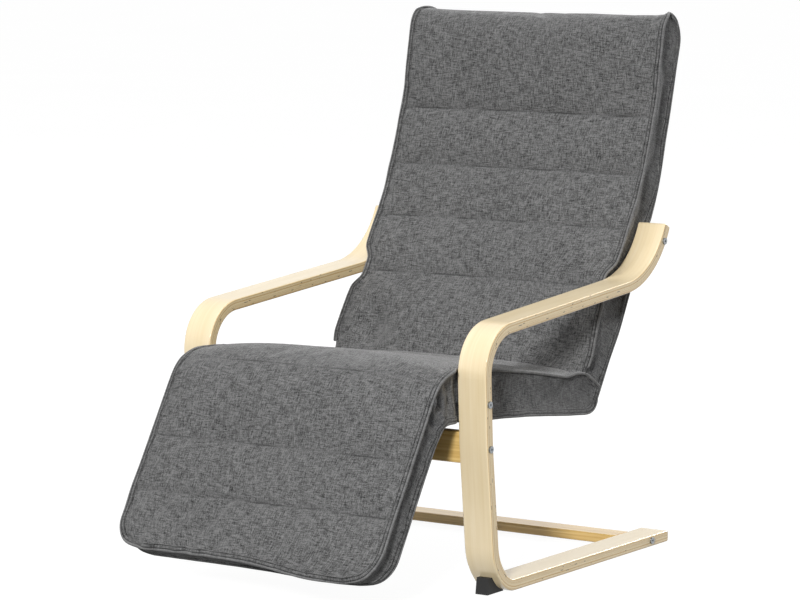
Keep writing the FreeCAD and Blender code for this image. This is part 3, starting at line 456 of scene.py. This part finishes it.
def swell(form, index, hold, pressure, growth, frames, cap):
    """Fills a sewn form: cloth under inside pressure, held along its seams, kept within a largest move."""
    held = form.vertex_groups.new(name="held")
    for at, number in index.items():
        held.add([number], hold(*at), "REPLACE")
    start = np.array([v.co for v in form.data.vertices])
    filling = form.modifiers.new("filling", "CLOTH")
    settings = filling.settings
    settings.quality = 6
    settings.mass = 0.25
    settings.tension_stiffness = 18
    settings.compression_stiffness = 14
    settings.shear_stiffness = 8
    settings.bending_stiffness = 1.2
    settings.tension_damping = 12
    settings.use_pressure = True
    settings.uniform_pressure_force = pressure
    settings.shrink_min = -growth
    settings.vertex_group_mass = "held"
    settings.pin_stiffness = 1.0
    settings.effector_weights.gravity = 0
    filling.point_cache.frame_start = 1
    filling.point_cache.frame_end = frames
    for step in range(1, frames + 1):
        scene.frame_set(step)
    swollen = form.evaluated_get(bpy.context.evaluated_depsgraph_get()).to_mesh()
    end = np.array([v.co for v in swollen.vertices])
    form.modifiers.remove(filling)
    move = end - start
    size = np.linalg.norm(move, axis=1, keepdims=True)
    move *= cap * np.tanh(size / cap) / np.maximum(size, 1e-9)
    form.data.vertices.foreach_set("co", (start + move).ravel())
    form.data.update()
    scene.frame_set(1)


def smooth_once(form):
    """Halves the mesh size, with rounded cells."""
    finer = form.modifiers.new("finer", "SUBSURF")
    finer.levels = 1
    finer.render_levels = 1
    bpy.context.view_layer.objects.active = form
    with bpy.context.temp_override(object=form, active_object=form, selected_objects=[form]):
        bpy.ops.object.modifier_apply(modifier=finer.name)


seat_corner = (0.192477, 0.279066)
low_lean = math.radians(33.392)
high_lean = math.radians(16.4)
low_run = 0.397
bend_radius = 0.400
bend_run = bend_radius * (low_lean - high_lean)


def on_back(run, depth):
    """A place of the side view: run up the rear face of the back, and depth in front of it."""
    lean = low_lean - min(max(run - low_run, 0), bend_run) / bend_radius
    y = seat_corner[0] + math.sin(low_lean) * min(run, low_run) - math.cos(low_lean) * bend_radius
    z = seat_corner[1] + math.cos(low_lean) * min(run, low_run) + math.sin(low_lean) * bend_radius
    y -= math.cos(lean) * (depth - bend_radius)
    z += math.sin(lean) * (depth - bend_radius)
    past = max(run - low_run - bend_run, 0)
    return y + math.sin(lean) * past, z + math.cos(lean) * past


back_length = 0.797
back_start = 0.012
back_front = ((0.0, 70), (0.06, 74), (0.12, 77), (0.165, 79), (0.214, 76.5), (0.31, 76), (0.36, 75.5),
              (0.41, 77.5), (0.465, 81), (0.515, 80), (0.56, 76), (0.61, 73.5), (0.645, 74), (0.685, 80),
              (0.72, 84), (0.76, 87), (0.83, 88))
back_rear = ((0.0, -1), (0.3, -2), (0.41, -4), (0.5, -2), (0.7, -1.5), (0.765, -0.5), (0.83, 5))
back_channels = (0.225, 0.350, 0.478, 0.602)
head_round = 0.040


channel_room = 0.0085
channel_cells = (-0.006, -0.0022, 0, 0.0022, 0.006)
channel_half = 0.005
seam_room = 0.08


def gathered_rows(length, start, seams):
    """Rows of cells along a panel, close together at each sewn channel."""
    count = round(length / cell)
    rows = [start + length * step / count for step in range(count + 1)]
    rows = [row for row in rows if min(abs(row - seam) for seam in seams) > channel_room]
    rows += [seam + shift for seam in seams for shift in channel_cells]
    return sorted(rows)


def channel_pull(run, u, channels):
    """How far the sewn channels draw the front cloth in, 0 to 1; u is -1 to 1 across the cover."""
    pull = sum(math.exp(-((run - seam) / channel_half) ** 2) for seam in channels)
    return pull * min((1 - abs(u)) / seam_room, 1)


back_rows = gathered_rows(back_length, back_start, back_channels)
back_depth = 0.08
head_start = back_start + back_length - head_round
corner_pull, corner_run = 0.028, 0.09
back_crown, back_channel_sink = 0.006, 0.004
hollow_depth, hollow_across, hollow_run = 0.026, (0.72, 0.15), (0.10, 0.05)
front_spread, rear_lean = 0.003, 0.009
arm_level, arm_ramp = 0.24, 0.18
tuck, tuck_end, tuck_ramp = 0.007, 0.085, 0.03
side_play = 0.0015


def back_place(a, b, c):
    run = back_rows[round(b * (len(back_rows) - 1))]
    front = np.interp(run, *zip(*back_front)) / 1000
    rear = np.interp(run, *zip(*back_rear)) / 1000
    u = 2 * a - 1
    # The head is rounded from front to rear
    near_top = (run - head_start) / head_round
    depth_share = 2 * c - 1
    if near_top > 0:
        run = head_start + head_round * near_top * math.sqrt(1 - depth_share ** 2 / 2)
        depth_share *= math.sqrt(1 - near_top ** 2 / 2)
    depth = (front + rear) / 2 + depth_share * (front - rear) / 2
    # Next to the seat the front seam is pulled towards the rear
    depth -= corner_pull * c * max(u, 0) ** 6 * math.exp(-(run / corner_run) ** 2)
    ripple = 0.002 * noise.noise((run * 14 + 3.1 * (u > 0), 1.7 * c, 4.2)) if abs(u) > 0.9 else 0.0
    raised = 0.0
    if c == 1:
        # The cloth is drawn in where the back meets the seat, next to each arm
        hollow = math.exp(-((abs(u) - hollow_across[0]) / hollow_across[1]) ** 2
                          - ((run - hollow_run[0]) / hollow_run[1]) ** 2)
        raised = back_crown * (1 - u * u) - hollow_depth * hollow
        raised -= back_channel_sink * channel_pull(run, u, back_channels)
    y, z = on_back(run, depth + raised + ripple)
    edge = on_back(run, depth)
    width = side_limit(*edge)
    # Above the arms the boxing leans in towards the rear panel
    free_share = (width - pinched_width) / (half_width - pinched_width)
    above_arm = min(max((run - arm_level) / arm_ramp, 0), 1)
    width += free_share * (front_spread * c - rear_lean * above_arm * (1 - c))
    # The lowest part of the front is tucked between the sides of the seat
    width -= tuck * min(max((tuck_end - run) / tuck_ramp, 0), 1) * min(max(3 * c - 0.5, 0), 1)
    if c not in (0, 1) and a in (0, 1):
        slack = 0.008 * math.sin(math.pi * c) + 0.005 * noise.noise((run * 13 + c, c * 1.5, u))
        width = max(width - slack, min(width, pinched_width) - side_play)
    lift = 0.004 * max(near_top, 0) * abs(u) ** 10
    return u * width, y, z + lift


back_counts = (round(2 * half_width / cell), len(back_rows) - 1, 11)
channel_rows = [back_rows.index(seam) for seam in back_channels]
back_sizes = (2 * half_width, back_length, back_depth)
back, back_index = padded_form("back_cover_padded", back_counts, back_sizes, back_place, channel_rows)


def back_hold(i, j, k):
    seam_edge = i in (0, back_counts[0]) and (k in (0, back_counts[2]) or j == back_counts[1])
    if seam_edge or j == 0:
        return 1.0
    if k == back_counts[2] and j in channel_rows and 2 < i < back_counts[0] - 2:
        return 1.0
    if k == 0:
        return 0.35
    return 0.0


swell(back, back_index, back_hold, 1.1, 0.003, 22, 0.010)


def felled_seam(name, form, path):
    """A flat seam with two rows of stitching along a line of the form. path gives (point, inner neighbour)
    pairs.
    """
    spots = form.data.vertices
    points = [Vector(spots[p].co) for p, q in path]
    inward = [(Vector(spots[q].co) - Vector(spots[p].co)).normalized() for p, q in path]
    profile = ((-0.0034, -0.0030), (-0.0042, 0.0004), (-0.0030, 0.0032), (-0.0010, 0.0034), (0.0010, 0.0020),
               (0.0028, 0.0032), (0.0056, 0.0031), (0.0074, 0.0018), (0.0090, 0.0026), (0.0104, -0.0020))
    rings, corners = [], []
    run = 0.0
    runs = []
    for number, point in enumerate(points):
        before = points[max(number - 1, 0)]
        after = points[min(number + 1, len(points) - 1)]
        forward = (after - before).normalized()
        inner = sum((inward[min(max(number + d, 0), len(points) - 1)] for d in (-2, -1, 0, 1, 2)), Vector())
        inner = (inner - forward * inner.dot(forward)).normalized()
        out = forward.cross(inner).normalized()
        runs.append(run)
        if number + 1 < len(points):
            run += (points[number + 1] - point).length
        rings.append((point, inner, out))
    facing = sum(spots[q].normal.dot(ring[2]) for (p, q), ring in zip(path, rings))
    turn = 1 if facing > 0 else -1
    for point, inner, out in rings:
        for side, height in profile:
            corners.append(point + inner * side + out * (height * turn))
    count = len(profile)
    faces = []
    for ring in range(len(points) - 1):
        for k in range(count):
            faces.append((ring * count + k, ring * count + (k + 1) % count,
                          (ring + 1) * count + (k + 1) % count, (ring + 1) * count + k))
    faces.append(tuple(range(count)))
    faces.append(tuple(range((len(points) - 1) * count, len(points) * count)))
    mesh = bpy.data.meshes.new(name)
    mesh.from_pydata(corners, [], faces)
    flat_map = mesh.uv_layers.new(name="weave")
    for loop in mesh.loops:
        ring, k = divmod(loop.vertex_index, count)
        flat_map.data[loop.index].uv = (profile[k][0] + seam_offset, runs[ring])
    made = sewn_object(name, mesh)
    smooth_once(made)
    return made


last_i, last_j, last_k = back_counts
above_seat = 7
back_seams = []
for side, i, step in (("left", last_i, -1), ("right", 0, 1)):
    front = [((i, j, last_k), (i + step, j, last_k)) for j in range(above_seat, last_j + 1)]
    front += [((i, last_j, k), (i + step, last_j, k)) for k in range(last_k - 1, 2, -1)]
    rear = [((i, last_j, k), (i, last_j - 1, k)) for k in range(5, 0, -1)]
    rear += [((i, j, 0), (i, j, 1)) for j in range(last_j, 0, -1)]
    for line_name, line in (("front", front), ("rear", rear)):
        path = [(back_index[at], back_index[inner]) for at, inner in line]
        back_seams.append(felled_seam(side + "_back_" + line_name + "_seam", back, path))
smooth_once(back)
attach(back, "chair")
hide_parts("back_cushion", "back_cover")
for seam in back_seams:
    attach(seam, "chair")


# Seat and footrest: one padded sleeve of the cover, slack at the rear where it meets the back,
# rolled over the knee and pulled over the footrest, whose lower corners are rounded.
front_line = ((224, 318), (206, 332), (170, 353), (135, 358), (102, 354), (30, 368), (-40, 381), (-126, 394),
              (-200, 405), (-256, 412), (-288, 411), (-316, 404), (-338, 393), (-354, 376), (-372, 348),
              (-389.5, 320), (-424, 265), (-458, 211), (-492, 157), (-526, 102), (-541, 78))
rear_line = ((211, 300), (201, 283), (180, 277), (135, 282), (102, 285), (30, 294), (-40, 302), (-126, 310),
             (-200, 315), (-250, 318), (-280, 320), (-302, 321), (-316, 320), (-326, 316), (-336, 306),
             (-350, 292), (-384, 240), (-418, 186), (-452, 132), (-485, 79), (-501, 60))
front_runs = [0.0]
for first, second in zip(front_line, front_line[1:]):
    front_runs.append(front_runs[-1] + math.hypot(second[0] - first[0], second[1] - first[1]) / 1000)
seat_length = front_runs[-1]
toe_round = 0.058
foot_start = front_runs[15]
foot_channels = (front_runs[12] - 0.006, foot_start + 0.062, foot_start + 0.172)
seat_rows = gathered_rows(seat_length, 0.0, foot_channels)


def smooth_line(run, line):
    """A place, in metres, on a line of the side view in millimetres, with its corners eased."""
    total = np.zeros(2)
    for shift, weight in ((-0.016, 1), (-0.008, 2), (0, 3), (0.008, 2), (0.016, 1)):
        at = min(max(run + shift, 0), seat_length)
        total += weight * np.array([np.interp(at, front_runs, [p[0] for p in line]),
                                    np.interp(at, front_runs, [p[1] for p in line])])
    return total / 9 / 1000


seat_depth = 0.07
knee_run, knee_half = front_runs[12], 0.09
seat_crown, knee_crown = 0.006, 0.010
foot_channel_sink = 0.003
slack_run, slack_ramp, slack_height = 0.17, 0.12, 0.007
fold_spacing, fold_height, fold_across = 0.062, 0.0065, (-0.5, 0.4)
toe_sag, sag_across = 0.017, (0.75, 0.5)
sag_direction = np.array([-0.53, -0.85])


def seat_place(a, b, c):
    run = seat_rows[round(b * (len(seat_rows) - 1))]
    u = 2 * a - 1
    front = smooth_line(run, front_line)
    rear = smooth_line(run, rear_line)
    ahead = smooth_line(min(run + 0.006, seat_length), front_line)
    ahead = ahead - smooth_line(max(run - 0.006, 0), front_line)
    outward = np.array([ahead[1], -ahead[0]]) / max(np.linalg.norm(ahead), 1e-9)
    at = rear + (front - rear) * c
    width = side_limit(*at)
    past_corner = (run - (seat_length - toe_round)) / toe_round
    if past_corner > 0:
        width -= toe_round * (1 - math.sqrt(max(1 - past_corner ** 2, 0)))
    knee = math.exp(-((run - knee_run) / knee_half) ** 2)
    foot = min(max((run - foot_start) / 0.1, 0), 1)
    push = 0.0
    if c == 1:
        push = (seat_crown + knee_crown * knee) * (1 - u ** 4)
        push -= foot_channel_sink * channel_pull(run, u, foot_channels)
        slack = min(max((run - seat_length + slack_run) / slack_ramp, 0), 1)
        slack *= 1 - 0.8 * min(max(past_corner, 0), 1) ** 2
        push += slack_height * slack * noise.noise((u * 6.5 + 2.5 * run, 3.0 * run, 8.3))
        # Slanting folds where the lower corner of the footrest's cloth hangs slack
        slant = (u * half_width - 0.6 * (seat_length - run)) / fold_spacing
        fold_share = slack * math.exp(-((u - fold_across[0]) / fold_across[1]) ** 2)
        wave = math.sin(2 * math.pi * slant + 2 * noise.noise((u * 3, run * 9, 2.6)))
        push += fold_height * fold_share * wave
    at = at + outward * push
    if c not in (0, 1) and a in (0, 1):
        crumple = 0.014 * knee * noise.noise((run * 45, c * 3, 5.0 + u))
        slack = 0.007 * math.sin(math.pi * c) + 0.005 * noise.noise((run * 20 + c, c * 1.5, u)) - crumple
        width = max(width - slack, min(width, pinched_width) - side_play)
    sag = toe_sag * foot * math.exp(-((u - sag_across[0]) / sag_across[1]) ** 2)
    at = at + sag_direction * (sag * min(max(past_corner, 0), 1) * (0.4 + 0.6 * c))
    return u * width, at[0], at[1]


seat_counts = (round(2 * half_width / cell), len(seat_rows) - 1, 9)
foot_rows = [seat_rows.index(seam) for seam in foot_channels]
seat_sizes = (2 * half_width, seat_length, seat_depth)
seat, seat_index = padded_form("seat_and_footrest_cover_padded", seat_counts, seat_sizes, seat_place,
                               foot_rows)


def seat_hold(i, j, k):
    if j in (0, seat_counts[1]) and k in (0, seat_counts[2]) or j == 0:
        return 1.0
    if i in (0, seat_counts[0]) and k in (0, seat_counts[2]):
        return 1.0
    if k == seat_counts[2] and j in foot_rows and 2 < i < seat_counts[0] - 2:
        return 1.0
    if k == 0:
        return 0.5
    return 0.0


swell(seat, seat_index, seat_hold, 1.0, 0.004, 22, 0.009)

last_i, last_j, last_k = seat_counts
seat_seams = []
for level_name, k in (("upper", last_k), ("lower", 0)):
    if k == 0:
        lattice = [((last_i, j, last_k), (last_i, j, last_k - 1)) for j in range(4, 0, -1)]
        lattice += [((last_i, 0, rise), (last_i, 1, rise)) for rise in range(last_k, 0, -1)]
        lattice += [((last_i, j, 0), (last_i, j, 1)) for j in range(0, last_j)]
        lattice += [((i, last_j, 0), (i, last_j, 1)) for i in range(last_i, -1, -1)]
        lattice += [((0, j, 0), (0, j, 1)) for j in range(last_j - 1, -1, -1)]
        lattice += [((0, 0, rise), (0, 1, rise)) for rise in range(1, last_k + 1)]
        lattice += [((0, j, last_k), (0, j, last_k - 1)) for j in range(1, 5)]
    else:
        lattice = [((last_i, j, k), (last_i - 1, j, k)) for j in range(0, last_j)]
        lattice += [((i, last_j, k), (i, last_j - 1, k)) for i in range(last_i, -1, -1)]
        lattice += [((0, j, k), (1, j, k)) for j in range(last_j - 1, -1, -1)]
    path = [(seat_index[at], seat_index[inner]) for at, inner in lattice]
    seat_seams.append(felled_seam(level_name + "_seat_seam", seat, path))
smooth_once(seat)

# The seat cover and its seams get their places baked into their meshes
for piece in [seat] + seat_seams:
    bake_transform(piece)
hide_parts("seat_cushion", "seat_cover", "footrest_cushion", "footrest_cover")
